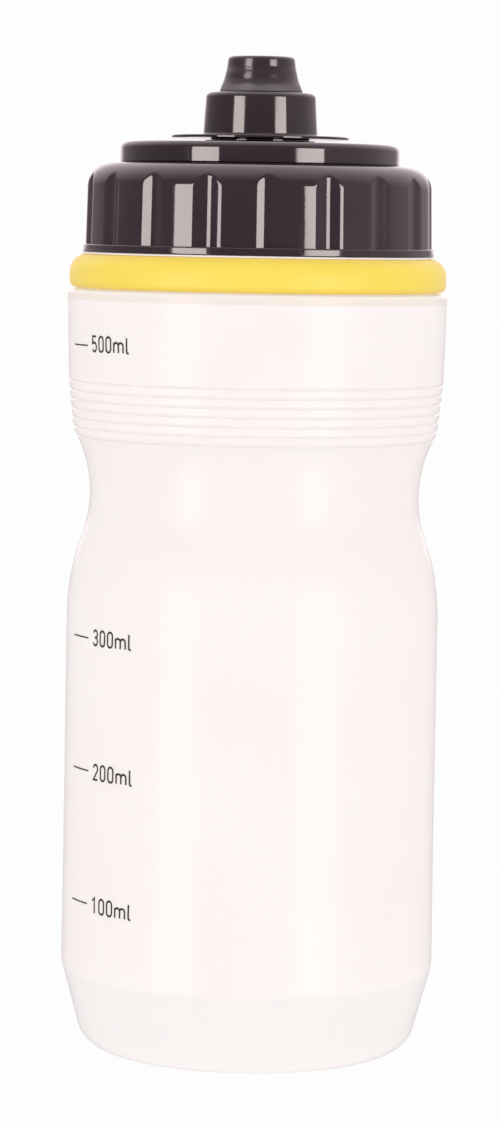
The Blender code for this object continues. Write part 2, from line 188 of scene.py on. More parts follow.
# Valve plate and its hub.
CLEARANCE = 0.3
PLATE_SEAT = 0.05
BOSS_RADIUS = 10.8
BOSS_STEP = 0.5
WELL_RADIUS = 10.0
WELL_FLOOR = 175.9
WELL_FLOOR_THICK = 1.0
HUB_RADIUS = CAP_HOLE - CLEARANCE
HUB_BORE = 12.3
HUB_UPPER_BORE = 10.3
HUB_SHELF = 171.4
HUB_BEAD = 0.9
HUB_BEAD_BELOW = (0.7, 0.3)
RETAINER_SEAT = 169.6
HUB_GROOVE = (172.2, 173.8)
PLATE_CORE_RADIUS = 16.0
PLATE_CORE_TOP = 176.2
PLATE_RIM = 1.7
PLATE_ROUND = 1.3
SEAL_SECTION = 0.5

# Valve stem and its centre pin.
STEM_RADIUS = 6.6
STEM_BORE = 5.0
STEM_FLANGE = 7.9
STEM_TOP = 185.7
STEM_STOP = 182.8
STEM_GROOVE = (183.4, 185.0)
PIN_RADIUS = 2.2
PIN_BOTTOM = 178.0
SPOKES = 3
SPOKE_WIDTH = 1.6
SPOKE_HEIGHT = 3.0
SPOKE_ROUND = 0.3
SPOKE_IN_PIN = 0.4
SPOKE_ABOVE_PIN_FOOT = 1.0

# Spout.
COLLAR_FOOT_RADIUS = 11.2
COLLAR_TOP_RADIUS = 10.7
COLLAR_TOP = 187.8
COLLAR_BORE = 8.2
COLLAR_SLEEVE = 9.6
COLLAR_ROOF = 186.1
COLLAR_LIP = 0.8
BRIM_GAP = 0.35
BRIM_EDGE = 0.55
BRIM_ROOT = 0.8
CHIMNEY_RADIUS = 4.9
CHIMNEY_BORE = 3.9
CHIMNEY_BEAD = (190.2, 191.6)
CHIMNEY_BEAD_SIZE = 0.6
TIP_FOOT_RADIUS = 8.19
TIP_TOP_RADIUS = 6.45
TIP_STRAIGHT_FROM = 1.18
TIP_SEAT = 0.02
# Band at the mouthpiece's foot, painted lighter grey as a painted reflection of the light above, with
# an uneven edge; it is rougher too.
TIP_PAINTED_BAND = (189.3, 190.1)
TIP_PAINTED_BAND_UNEVEN = 0.8
TIP_RIPPLED = (191.8, 192.8)
TIP_ORIFICE = PIN_RADIUS + CLEARANCE

# Printed volume scale. Each mark: figure, its height, the angle where the dash ends and the figure
# starts, and how far the dash lies below the middle of the figure.
MARKS = (("500ml", 139.07, -58.7, 0.38), ("300ml", 82.75, -56.7, 0.27),
         ("200ml", 56.82, -55.6, 0.03), ("100ml", 30.95, -55.2, 0.03))
DASH_LENGTH = 6.9
DASH_GAP = 1.75
DASH_WIDTH = 0.28
STROKE = 0.39
FIGURE_HEIGHT = 3.3
FIGURE_WIDTH = 1.8
SMALL_LETTER_HEIGHT = 2.3
M_PITCH = 1.29
L_HOOK = 0.36
L_WIDTH = 0.55
LETTER_GAP = 0.55
DASH_STEP = 0.7
INK_PROUD = 0.025
INK_SUNK = 0.06


def box_mm(node):
    """Bottom, top and outer radius of a CAD node."""
    low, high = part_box(node)
    return low.z / MM, high.z / MM, high.x / MM


BODY_RADIUS = box_mm("bottle_body")[2]
CAP_SIDE_RADIUS = box_mm("cap_shell")[2] - LIP_STEP


# ---------------------------------------------------------------- outlines

def oval(centre, half_width, half_height, start_deg, end_deg, pieces=14):
    """Points on part of an upright ellipse, both ends included."""
    points = []
    for i in range(pieces + 1):
        angle = math.radians(start_deg + (end_deg - start_deg) * i / pieces)
        points.append((centre[0] + half_width * math.cos(angle),
                       centre[1] + half_height * math.sin(angle)))
    return points


def arc(centre, radius, start_deg, end_deg, pieces):
    """Points on an arc, both ends included."""
    return oval(centre, radius, radius, start_deg, end_deg, pieces)


def rounded(corners):
    """Outline through corners (radius, height). A third number rounds the corner by that radius."""
    points = []
    for i, corner in enumerate(corners):
        here = Vector(corner[:2])
        if len(corner) < 3:
            points.append(tuple(here))
            continue
        back = (Vector(corners[i - 1][:2]) - here).normalized()
        ahead = (Vector(corners[(i + 1) % len(corners)][:2]) - here).normalized()
        opening = back.angle(ahead)
        middle = here + (back + ahead).normalized() * corner[2] / math.sin(opening / 2)
        first = here + back * corner[2] / math.tan(opening / 2) - middle
        turn = math.pi - opening
        if back.x * ahead.y - back.y * ahead.x > 0:
            turn = -turn
        pieces = max(2, math.ceil(math.degrees(abs(turn)) / FILLET_STEP_DEG))
        for k in range(pieces + 1):
            points.append(tuple(middle + Matrix.Rotation(turn * k / pieces, 2) @ first))
    return points


def steps(start, end, spacing):
    """Evenly spaced values from start to end, both included."""
    count = max(1, round(abs(end - start) / spacing))
    return [start + (end - start) * i / count for i in range(count + 1)]


# ---------------------------------------------------------------- meshes

def even_angles(count):
    """Angles of a full turn in equal steps."""
    return [math.tau * i / count for i in range(count)]


def add_piece(name, bm, surface, body, node=None):
    """Makes the object, shades it smooth and says what it rides on and stands for."""
    bmesh.ops.recalc_face_normals(bm, faces=bm.faces)
    mesh = bpy.data.meshes.new(name)
    bm.to_mesh(mesh)
    bm.free()
    mesh.materials.append(surface)
    mesh.shade_smooth()
    mesh.set_sharp_from_angle(angle=math.radians(SHARP_DEG))
    piece = bpy.data.objects.new(name, mesh)
    bpy.context.scene.collection.objects.link(piece)
    smoothing = piece.modifiers.new("weighted_normals", 'WEIGHTED_NORMAL')
    smoothing.keep_sharp = True
    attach(piece, body)
    if node:
        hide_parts(node)
    return piece


def turned_mesh(outline, angles, shape=None):
    """Closed mesh of a half section turned about Z.

    shape(radius, height, angle), if given, says what the radius becomes at an angle.
    """
    bm = bmesh.new()
    rings = []
    for radius, height in outline:
        if radius < ON_AXIS:
            rings.append([bm.verts.new((0.0, 0.0, height * MM))])
            continue
        ring = []
        for angle in angles:
            at = shape(radius, height, angle) if shape else radius
            ring.append(bm.verts.new((at * MM * math.cos(angle), at * MM * math.sin(angle),
                                      height * MM)))
        rings.append(ring)
    pairs = list(zip(rings, rings[1:]))
    if len(rings[0]) > 1 or len(rings[-1]) > 1:
        pairs.append((rings[-1], rings[0]))
    count = len(angles)
    for low, high in pairs:
        for i in range(count):
            j = (i + 1) % count
            corners = [low[i % len(low)], low[j % len(low)],
                       high[j % len(high)], high[i % len(high)]]
            bm.faces.new(list(dict.fromkeys(corners)))
    return bm


def ridge(height, angle, start, angles, crest):
    """How far a helical thread stands out of its wall at a height and angle."""
    best = 0.0
    degrees = math.degrees(angle) % 360.0
    while degrees <= angles[1]:
        if degrees >= angles[0]:
            away = abs(height - start - THREAD_LEAD * degrees / 360.0)
            slope = (THREAD_HALF_ROOT - away) / (THREAD_HALF_ROOT - THREAD_HALF_CREST)
            grown = min(1.0, (degrees - angles[0]) / THREAD_RUN_OUT,
                        (angles[1] - degrees) / THREAD_RUN_OUT)
            share = max(0.0, min(1.0, slope))
            best = max(best, share * share * (3 - 2 * share) * max(0.0, grown))
        degrees += 360.0
    return best * crest


# ---------------------------------------------------------------- materials

class Nodes:
    """Named building blocks for a node tree. A value is a node's output, a number or a colour."""

    def __init__(self, tree):
        self.nodes = tree.nodes
        self.links = tree.links

    def feed(self, socket, value):
        """Links a node's output to a socket, or sets the socket to a number or colour."""
        if isinstance(value, (int, float)):
            socket.default_value = value
        elif isinstance(value, tuple):
            socket.default_value = (*value, 1.0)
        else:
            self.links.new(value, socket)

    def between(self, value, limits, low_out=0.0, high_out=1.0):
        """Maps value from the range of the limits to another one, held at the ends."""
        change = self.nodes.new("ShaderNodeMapRange")
        for socket, number in zip(("From Min", "From Max", "To Min", "To Max"),
                                  (*limits, low_out, high_out)):
            change.inputs[socket].default_value = number
        self.links.new(value, change.inputs["Value"])
        return change.outputs["Result"]

    def combine(self, operation, *values):
        """One arithmetic step between values."""
        node = self.nodes.new("ShaderNodeMath")
        node.operation = operation
        for socket, value in zip(node.inputs, values):
            self.feed(socket, value)
        return node.outputs["Value"]

    def mix(self, share, first, second, kind='RGBA'):
        """Blends two colours, or two numbers if the kind is FLOAT."""
        blend = self.nodes.new("ShaderNodeMix")
        blend.data_type = kind
        self.links.new(share, blend.inputs["Factor"])
        self.feed(blend.inputs["A"], first)
        self.feed(blend.inputs["B"], second)
        return blend.outputs["Result"]

    def split(self, vector):
        """The outputs X, Y and Z of a vector."""
        node = self.nodes.new("ShaderNodeSeparateXYZ")
        self.links.new(vector, node.inputs["Vector"])
        return node.outputs


class Surface(Nodes):
    """A Principled material, with building blocks for its patterns."""

    def __init__(self, name, colour, roughness, specular=0.5):
        self.material = bpy.data.materials.new(name)
        self.material.use_nodes = True
        super().__init__(self.material.node_tree)
        self.shader = self.nodes["Principled BSDF"]
        self.place = self.nodes.new("ShaderNodeTexCoord").outputs["Object"]
        self.shader.inputs["Base Color"].default_value = (*colour, 1.0)
        self.shader.inputs["Roughness"].default_value = roughness
        self.shader.inputs["Specular IOR Level"].default_value = specular

    def stretched(self, factors):
        """Object coordinates scaled by a factor along each axis."""
        mapping = self.nodes.new("ShaderNodeMapping")
        mapping.inputs["Scale"].default_value = factors
        self.links.new(self.place, mapping.inputs["Vector"])
        return mapping.outputs["Vector"]

    def noise(self, grain_mm, detail=3.0, factors=(1.0, 1.0, 1.0), distortion=0.0):
        """Noise from 0 to 1 whose blotches are about grain_mm across."""
        texture = self.nodes.new("ShaderNodeTexNoise")
        texture.inputs["Scale"].default_value = 1.0 / (grain_mm * MM)
        texture.inputs["Detail"].default_value = detail
        texture.inputs["Distortion"].default_value = distortion
        self.links.new(self.stretched(factors), texture.inputs["Vector"])
        return texture.outputs["Fac"]

    def mottled(self, pattern, limits, first, second):
        """Colour that goes from first to second as the pattern goes through the limits."""
        return self.mix(self.between(pattern, limits), first, second)

    def up_to(self, height, limits_mm):
        """1 below the first of two heights and 0 above the second."""
        return self.between(height, [limit * MM for limit in limits_mm], 1.0, 0.0)

    def colour(self, output):
        self.links.new(output, self.shader.inputs["Base Color"])

    def roughness(self, output):
        self.links.new(output, self.shader.inputs["Roughness"])

    def bump(self, *layers):
        """Stacks (height output, depth in mm) layers of bump."""
        normal = None
        for height, depth in layers:
            node = self.nodes.new("ShaderNodeBump")
            node.inputs["Distance"].default_value = depth * MM
            self.links.new(height, node.inputs["Height"])
            if normal:
                self.links.new(normal, node.inputs["Normal"])
            normal = node.outputs["Normal"]
        self.links.new(normal, self.shader.inputs["Normal"])


def translucent_plastic():
    """Milky blow-moulded plastic: faint clouding, flow streaks, a parting line and fine grain."""
    made = Surface("translucent_plastic", (0.968, 0.88, 0.862), 0.18, specular=0.05)
    made.shader.inputs["Subsurface Weight"].default_value = 0.35
    made.shader.inputs["Subsurface Radius"].default_value = (1.0, 0.9, 0.85)
    made.shader.inputs["Subsurface Scale"].default_value = SUBSURFACE_M
    place = made.split(made.place)
    clouds = made.noise(26.0, detail=2.0)
    tint = made.mottled(clouds, (0.35, 0.65), (0.963, 0.872, 0.853), (0.973, 0.888, 0.871))
    # Painted shade: the foot, below the top of the chamfer, is painted greyer.
    foot = made.up_to(place["Z"], [CHAMFER_TOP_HEIGHT - below for below in FOOT_SHADE_BELOW])
    wall = made.mix(foot, tint, (0.918, 0.858, 0.850))
    # Painted shade and light: the band under the soft ring is painted darker for less light through
    # the thicker wall, and near the ring it is painted lighter again against the shade that falls
    # under the ring.
    low = SHOULDER_HEIGHT - RIM_SHADE_BELOW
    rim_shade_mask = made.between(place["Z"], (low * MM, (low + RIM_SHADE_BLEND) * MM))
    rim_light_mask = made.between(place["Z"], [(SHOULDER_HEIGHT + above) * MM for above in RIM_PAINTED_LIGHT])
    rim_shade_and_light = made.mix(rim_light_mask, (0.885, 0.797, 0.737), (0.96, 0.872, 0.815))
    made.colour(made.mix(rim_shade_mask, wall, rim_shade_and_light))
    streaks = made.noise(5.0, detail=4.0, factors=(1.0, 1.0, 0.06))
    made.roughness(made.between(streaks, (0.3, 0.7), 0.15, 0.21))
    seam = made.between(made.combine('ABSOLUTE', place["Y"]), SEAM_M, 1.0, 0.0)
    made.bump((made.noise(0.7, detail=2.0), 0.006), (streaks, 0.012), (seam, 0.02))
    return made.material


def yellow_rubber():
    """Satin soft-touch rubber with a fine matt grain."""
    made = Surface("yellow_rubber", (0.965, 0.735, 0.100), 0.5, specular=0.2)
    made.shader.inputs["Sheen Weight"].default_value = 0.3
    made.shader.inputs["Sheen Roughness"].default_value = 0.4
    made.shader.inputs["Sheen Tint"].default_value = (1.0, 0.65, 0.7, 1.0)
    clouds = made.noise(9.0)
    made.colour(made.mottled(clouds, (0.3, 0.7), (0.968, 0.742, 0.104), (0.958, 0.722, 0.093)))
    grain = made.noise(0.35)
    made.roughness(made.between(grain, (0.3, 0.7), 0.42, 0.56))
    made.bump((grain, 0.012), (made.noise(6.0), 0.03))
    return made.material


def black_plastic():
    """Glossy injection-moulded plastic: slightly wavy, with hairline handling marks."""
    made = Surface("black_plastic", (0.024, 0.013, 0.018), 0.07)
    clouds = made.noise(12.0, detail=2.0)
    made.colour(made.mottled(clouds, (0.35, 0.65), (0.021, 0.011, 0.016), (0.027, 0.015, 0.020)))
    hairs = made.noise(1.6, detail=5.0, factors=(1.0, 1.0, 0.05), distortion=0.4)
    made.roughness(made.between(hairs, (0.45, 0.75), 0.05, 0.14))
    made.bump((made.noise(4.0, detail=2.0), 0.010), (made.noise(0.5, detail=2.0), 0.0008))
    return made.material


def soft_black_plastic():
    """Softer black plastic of the mouthpiece: rippled gloss above a rougher foot painted lighter
    grey, a painted reflection of the light above.
    """
    made = Surface("soft_black_plastic", (0.030, 0.019, 0.023), 0.16, specular=0.45)
    height = made.split(made.place)["Z"]
    clouds = made.noise(5.0, detail=2.0)
    black = made.mottled(clouds, (0.3, 0.7), (0.027, 0.017, 0.021), (0.035, 0.022, 0.027))
    # Painted reflection: the foot of the mouthpiece is painted lighter grey, and it is made rougher.
    painted_band = made.up_to(made.combine('MULTIPLY_ADD', clouds, TIP_PAINTED_BAND_UNEVEN * MM, height), TIP_PAINTED_BAND)
    made.colour(made.mix(painted_band, black, (0.112, 0.092, 0.099)))
    gloss = made.between(clouds, (0.3, 0.7), 0.12, 0.20)
    made.roughness(made.combine('MULTIPLY_ADD', painted_band, 0.35, gloss))
    ripples = made.noise(1.3, detail=0.0, factors=(0.15, 0.15, 1.0))
    ripples = made.combine('MULTIPLY', ripples, made.up_to(height, TIP_RIPPLED))
    made.bump((made.noise(0.4), 0.003), (made.noise(3.0), 0.02), (ripples, 0.15))
    return made.material


def seal_silicone():
    """Pale silicone of the seals, with a matt bloom."""
    made = Surface("seal_silicone", (0.74, 0.74, 0.72), 0.5, specular=0.4)
    bloom = made.noise(2.5, detail=4.0)
    made.colour(made.mottled(bloom, (0.35, 0.65), (0.72, 0.72, 0.70), (0.80, 0.80, 0.78)))
    made.roughness(made.between(bloom, (0.3, 0.7), 0.42, 0.60))
    made.bump((made.noise(0.3), 0.006))
    return made.material


def scale_ink():
    """Screen-printed brown-black ink with a slightly uneven film."""
    made = Surface("scale_ink", (0.030, 0.018, 0.022), 0.45, specular=0.3)
    film = made.noise(0.35)
    made.colour(made.mottled(film, (0.35, 0.7), (0.024, 0.014, 0.018), (0.045, 0.028, 0.032)))
    made.roughness(made.between(film, (0.3, 0.7), 0.38, 0.55))
    made.bump((film, 0.004))
    return made.material


# ---------------------------------------------------------------- bottle

def lower_radius(height):
    """Outside radius from the chamfer up to the belly."""
    return LOWER_TOP_RADIUS + (LOWER_RADIUS - LOWER_TOP_RADIUS) * math.exp(
        (CHAMFER_TOP_HEIGHT - height) / LOWER_TAPER)


def waist_radius(height):
    """Outside radius from the belly up to the grip grooves: two arcs that meet."""
    lean = math.acos(1.0 - (LOWER_TOP_RADIUS - WAIST_RADIUS) / (BELLY_CURVE + WAIST_CURVE))
    if height < WAIST_HEIGHT - WAIST_CURVE * math.sin(lean):
        centre = LOWER_TOP_RADIUS - BELLY_CURVE
        return centre + math.sqrt(BELLY_CURVE ** 2 - (height - BELLY_TOP) ** 2)
    return WAIST_RADIUS + WAIST_CURVE - math.sqrt(WAIST_CURVE ** 2 - (height - WAIST_HEIGHT) ** 2)


def grip_crest(height):
    """Outside radius between the grip grooves."""
    share = (height - GROOVE_LOWEST) / (GROOVE_PITCH * (GROOVE_COUNT - 1))
    return min(GRIP_LOW_RADIUS + (GRIP_TOP_RADIUS - GRIP_LOW_RADIUS) * share, waist_radius(height))


def body_radius(height):
    """Outside radius where the printed marks lie."""
    if height > BAND_BOTTOM:
        share = (height - BAND_BOTTOM) / (SHOULDER_HEIGHT - BAND_BOTTOM)
        return BAND_BOTTOM_RADIUS + (BODY_RADIUS - BAND_BOTTOM_RADIUS) * share
    if height > BELLY_TOP:
        return waist_radius(height)
    return lower_radius(height)


def base_corners(offset):
    """Base from the axis to the top of the chamfer, at an offset inside the outer skin."""
    slope = math.atan2(LOWER_RADIUS - CHAMFER_FOOT_RADIUS, CHAMFER_TOP_HEIGHT)
    foot_height = FOOT_ROUND * (1.0 - math.sin(slope))
    foot_radius = (CHAMFER_FOOT_RADIUS + foot_height * math.tan(slope)
                   - FOOT_ROUND * math.cos(slope))
    corners = []
    for share in steps(0.0, 0.92, 0.08):
        corners.append((BASE_CONTACT_INNER * share, offset + BASE_RISE * (1.0 - share ** 2)))
    corners.append((BASE_CONTACT_INNER, offset, BASE_CONTACT_ROUND))
    corners += arc((foot_radius, FOOT_ROUND), FOOT_ROUND - offset, -90.0, -math.degrees(slope), 10)
    top = CHAMFER_TOP_HEIGHT + CHAMFER_TOP_RISE * offset
    corners.append((LOWER_RADIUS - offset, top, CHAMFER_TOP_ROUND))
    return corners


def body_outline(top, widest):
    """Half section of the body: up the outside, over the neck's lip and down the inside."""
    outer = base_corners(0.0)
    outer += [(lower_radius(h), h) for h in steps(20.0, BELLY_TOP - 3.0, 4.0)]
    outer += [(waist_radius(h), h) for h in steps(BELLY_TOP, GROOVE_LOWEST - 0.6, 1.4)]
    for i in range(GROOVE_COUNT):
        height = GROOVE_LOWEST + GROOVE_PITCH * i
        for step, depth in ((-GROOVE_BELOW, 0.0), (0.0, GROOVE_DEPTH), (GROOVE_ABOVE, 0.0)):
            outer.append((grip_crest(height + step) - depth, height + step, 0.1))
    outer += [(BAND_BOTTOM_RADIUS, BAND_BOTTOM, 0.5)]
    outer += [(body_radius(h), h) for h in steps(BAND_BOTTOM + 1.5, SHOULDER_HEIGHT - 1.0, 2.5)]
    outer += [(widest, SHOULDER_HEIGHT, 0.6), (LAND_RADIUS, LAND_HEIGHT, 0.3),
              (NECK_RADIUS, LAND_HEIGHT, 0.5), (NECK_RADIUS, NECK_BEAD[0]),
              (NECK_BEAD_RADIUS, NECK_BEAD[0], 0.1), (NECK_BEAD_RADIUS, NECK_BEAD[1], 0.1),
              (NECK_RADIUS, NECK_BEAD[1])]
    outer += [(NECK_RADIUS, h) for h in steps(*NECK_THREAD_ROWS, THREAD_ROW)]
    outer += [(NECK_RADIUS, top, 0.4), (NECK_BORE, top, 0.4),
              (NECK_BORE, SHOULDER_HEIGHT - WALL, 1.0),
              (widest - WALL, SHOULDER_HEIGHT - WALL - 1.0, 1.2)]
    inner = [(body_radius(BAND_BOTTOM + 1.0) - WALL, BAND_BOTTOM),
             (GRIP_LOW_RADIUS - WALL, GROOVE_LOWEST)]
    inner += [(waist_radius(h) - WALL, h) for h in steps(GROOVE_LOWEST - 2.4, BELLY_TOP, 2.0)]
    inner += [(lower_radius(h) - WALL, h) for h in steps(BELLY_TOP - 5.0, 22.0, 8.0)]
    return rounded(outer + inner + base_corners(WALL)[::-1])


def make_body(surface):
    """Bottle body with its neck and thread."""
    _, top, widest = box_mm("bottle_body")

    def with_thread(radius, height, angle):
        if abs(radius - NECK_RADIUS) > SAME_RADIUS or height < NECK_BEAD[1]:
            return radius
        return radius + ridge(height, angle, NECK_THREAD_START, NECK_THREAD_ANGLES,
                              NECK_THREAD_CREST - NECK_RADIUS)

    mesh = turned_mesh(body_outline(top, widest), even_angles(ROUND_STEPS), with_thread)
    add_piece("bottle_shell", mesh, surface, "bottle", "bottle_body")


def make_neck_ring(surface):
    """Soft ring that lies on the shoulder, round the neck."""
    _, top, radius = box_mm("neck_ring")
    bottom = LAND_HEIGHT + RING_SEAT
    inner = NECK_RADIUS + RING_LOOSE
    outline = rounded([(inner, bottom, 0.3), (radius, bottom, RING_BOTTOM_ROUND),
                       (radius, top, RING_TOP_ROUND), (inner, top, 0.3)])
    ring = add_piece("soft_ring", turned_mesh(outline, even_angles(ROUND_STEPS)), surface, "bottle",
                     "neck_ring")
    ring.visible_diffuse = False    # keeps its yellow off the shoulder


# ---------------------------------------------------------------- printed scale

def glyph(sign):
    """Centre lines of a sign and its width. They start at the centre of its lower left stroke."""
    w = FIGURE_WIDTH - STROKE
    h = FIGURE_HEIGHT - STROKE
    r = w / 2
    if sign == "0":
        return [oval((r, h - r), r, r, 0, 180) + oval((r, r), r, r, 180, 360) + [(w, h - r)]], w
    if sign == "1":
        return [[(0.80, 0.0), (0.80, h), (0.12, h - 0.55)]], w
    if sign == "2":
        return [oval((r, h * 0.73), r, h * 0.27, 170, -28) + [(0.0, 0.0), (w, 0.0)]], w
    if sign == "3":
        top = oval((r, h * 0.755), r * 0.94, h * 0.245, 160, -84)
        return [top + oval((r, h * 0.27), r, h * 0.27, 84, -160)], w
    if sign == "5":
        bowl = oval((r, h * 0.30), r, h * 0.30, 128, -155)
        return [[(w - 0.08, h), (0.08, h), (0.02, h * 0.53)] + bowl], w
    if sign == "m":
        x = SMALL_LETTER_HEIGHT - STROKE
        half = M_PITCH / 2
        lines = [[(0.0, 0.0), (0.0, x)]]
        for i in range(2):
            start = M_PITCH * i
            lines.append(oval((start + half, x - half), half, half, 180, 0)
                         + [(start + M_PITCH, 0.0)])
        return lines, 2 * M_PITCH
    hook = arc((L_HOOK, L_HOOK), L_HOOK, 190, 270, 6)
    return [[(0.0, h), (0.0, 0.42)] + hook + [(L_WIDTH, 0.0)]], L_WIDTH


def ribbon(bm, path, width, base_height, start_deg, shift):
    """Flat stroke along path, wrapped round the bottle: a closed strip with a little thickness."""
    closed = (Vector(path[0]) - Vector(path[-1])).length < SAME_POINT
    points = [Vector(p) for p in (path[:-1] if closed else path)]
    count = len(points)
    rows = []
    for i, point in enumerate(points):
        before = points[(i - 1) % count] if closed or i > 0 else point
        after = points[(i + 1) % count] if closed or i < count - 1 else point
        sides = []
        for a, b in ((before, point), (point, after)):
            if (b - a).length > 1e-6:
                sides.append(Vector((-(b - a).y, (b - a).x)).normalized())
        normal = sum(sides, Vector((0.0, 0.0))).normalized()
        reach = width / 2 / max(0.5, normal.dot(sides[0]))
        row = []
        for side, depth in ((1, INK_PROUD), (1, -INK_SUNK), (-1, -INK_SUNK), (-1, INK_PROUD)):
            spot = point + normal * reach * side
            height = base_height + spot.y
            radius = body_radius(height)
            angle = math.radians(start_deg - 90.0) + (shift + spot.x) / radius
            row.append(bm.verts.new(((radius + depth) * MM * math.cos(angle),
                                     (radius + depth) * MM * math.sin(angle), height * MM)))
        rows.append(row)
    pairs = list(zip(rows, rows[1:])) + ([(rows[-1], rows[0])] if closed else [])
    for low, high in pairs:
        for k in range(4):
            bm.faces.new((low[k], low[(k + 1) % 4], high[(k + 1) % 4], high[k]))
    if not closed:
        bm.faces.new(rows[0])
        bm.faces.new(rows[-1])


def make_marks(surface):
    """The generic volume figures and their dashes, as thin ink films on the wall."""
    for text, height, start_deg, dash_drop in MARKS:
        bm = bmesh.new()
        dash = [(x, 0.0) for x in steps(-DASH_GAP - DASH_LENGTH, -DASH_GAP, DASH_STEP)]
        ribbon(bm, dash, DASH_WIDTH, height - dash_drop, start_deg, 0.0)
        shift = STROKE / 2
        for sign in text:
            lines, width = glyph(sign)
            for line in lines:
                ribbon(bm, line, STROKE, height - FIGURE_HEIGHT / 2 + STROKE / 2,
                       start_deg, shift)
            shift += width + STROKE + LETTER_GAP
        add_piece("mark_" + text, bm, surface, "bottle", None)


# ---------------------------------------------------------------- cap

def flute_angles():
    """Angles round the cap, close together in each flute."""
    pitch = math.tau / FLUTES
    half = FLUTE_HALF_WIDTH / CAP_SIDE_RADIUS
    offsets = [half * s for s in steps(-1.0, 1.0, 0.1)]
    offsets += [half + (pitch / 2 - half) * s * 2 for s in (0.2, 0.4, 0.6, 0.8)]
    start = math.radians(FLUTE_PHASE)
    return [start + pitch * i + offset for i in range(FLUTES) for offset in offsets]


def flute_dip(angle):
    """How deep the smooth, shallow, upright flutes go at an angle round the cap."""
    pitch = math.tau / FLUTES
    turn = (angle - math.radians(FLUTE_PHASE)) % pitch
    aside = min(turn, pitch - turn) * CAP_SIDE_RADIUS
    if aside >= FLUTE_HALF_WIDTH:
        return 0.0
    return FLUTE_DEPTH * (1.0 + math.cos(math.pi * aside / FLUTE_HALF_WIDTH)) / 2


def fluted_radius(radius, shoulder, dip):
    """Radius after the upright cut, with its edge slightly rounded where it meets the shoulder."""
    cut = max(radius, shoulder) - dip
    edge = FLUTE_EDGE_ROUND * dip / FLUTE_DEPTH
    apart = abs(radius - cut)
    if apart >= edge:
        return min(radius, cut)
    return min(radius, cut) - (edge - apart) ** 2 / (4 * edge)


def make_cap(surface):
    """Screw cap: plain lip, fluted side, round shoulder, and inside it a seal and a thread."""
    bottom, top, lip = box_mm("cap_shell")
    side = CAP_SIDE_RADIUS
    shoulder = side - CAP_SHOULDER_INSET
    lip_top = bottom + LIP_HEIGHT
    ceiling = top - CAP_ROOF
    seal_inner = BORE_SEAL_RADIUS - WALL
    shoulder_height = top - CAP_SHOULDER_ROUND
    outline = rounded([(CAP_BORE + 0.4, bottom, 0.15), (lip, bottom, 0.25), (lip, lip_top, 0.3),
                       (side, lip_top + 0.02)])
    outline += [(side + (shoulder - side) * (h - lip_top) / (shoulder_height - lip_top), h)
                for h in steps(lip_top + 0.3, shoulder_height - 0.2, 0.9)]
    outline += arc((shoulder - CAP_SHOULDER_ROUND, shoulder_height), CAP_SHOULDER_ROUND,
                   0.0, 90.0, 30)
    outline += rounded([(CAP_HOLE, top, 0.2), (CAP_HOLE, ceiling, 0.15), (seal_inner, ceiling, 0.5),
                        (seal_inner, BORE_SEAL_BOTTOM, 0.4),
                        (BORE_SEAL_RADIUS, BORE_SEAL_BOTTOM, 0.4),
                        (BORE_SEAL_RADIUS, ceiling, 0.3), (CAP_BORE, ceiling, 0.3)])
    outline += [(CAP_BORE, h) for h in steps(CAP_THREAD_TOP, bottom + 0.3, THREAD_ROW)]

    def shaped(radius, height, angle):
        if height > lip_top + 0.01 and radius > CAP_BORE + 0.1:
            return fluted_radius(radius, shoulder, flute_dip(angle))
        if radius == CAP_BORE and height <= CAP_THREAD_TOP:
            return radius - ridge(height, angle, CAP_THREAD_START, CAP_THREAD_ANGLES,
                                  CAP_BORE - CAP_THREAD_CREST)
        return radius

    add_piece("screw_cap", turned_mesh(outline, flute_angles(), shaped), surface, "cap",
              "cap_shell")


def make_plate(surface):
    """Raised disc on the cap, with a well round the stem and the hub below it."""
    bottom, top, radius = box_mm("valve_plate")
    underside = box_mm("cap_shell")[1] + PLATE_SEAT
    plate_top = top - BOSS_STEP
    groove = HUB_RADIUS - CLEARANCE - 2 * SEAL_SECTION
    bead = HUB_RADIUS + HUB_BEAD
    core_outer = radius - PLATE_RIM
    well_ceiling = WELL_FLOOR - WELL_FLOOR_THICK
    stem_hole = STEM_RADIUS + CLEARANCE
    corners = [(HUB_BORE, bottom, 0.2), (HUB_RADIUS, bottom, 0.3),
               (bead, RETAINER_SEAT - HUB_BEAD_BELOW[0], 0.15),
               (bead, RETAINER_SEAT - HUB_BEAD_BELOW[1], 0.1),
               (HUB_RADIUS, RETAINER_SEAT), (HUB_RADIUS, HUB_GROOVE[0], 0.15),
               (groove, HUB_GROOVE[0], 0.15), (groove, HUB_GROOVE[1], 0.15),
               (HUB_RADIUS, HUB_GROOVE[1], 0.1), (HUB_RADIUS, underside),
               (PLATE_CORE_RADIUS, underside, 0.1), (PLATE_CORE_RADIUS, PLATE_CORE_TOP, 0.3),
               (core_outer, PLATE_CORE_TOP, 0.3), (core_outer, underside, 0.15),
               (radius, underside, 0.25), (radius, plate_top, PLATE_ROUND),
               (BOSS_RADIUS, plate_top, 0.2), (BOSS_RADIUS, top, 0.2), (WELL_RADIUS, top, 0.2),
               (WELL_RADIUS, WELL_FLOOR, 0.2), (stem_hole, WELL_FLOOR, 0.15),
               (stem_hole, well_ceiling, 0.15), (HUB_UPPER_BORE, well_ceiling, 0.2),
               (HUB_UPPER_BORE, HUB_SHELF, 0.2), (HUB_BORE, HUB_SHELF, 0.2)]
    add_piece("valve_disc", turned_mesh(rounded(corners), even_angles(ROUND_STEPS)), surface,
              "cap", "valve_plate")


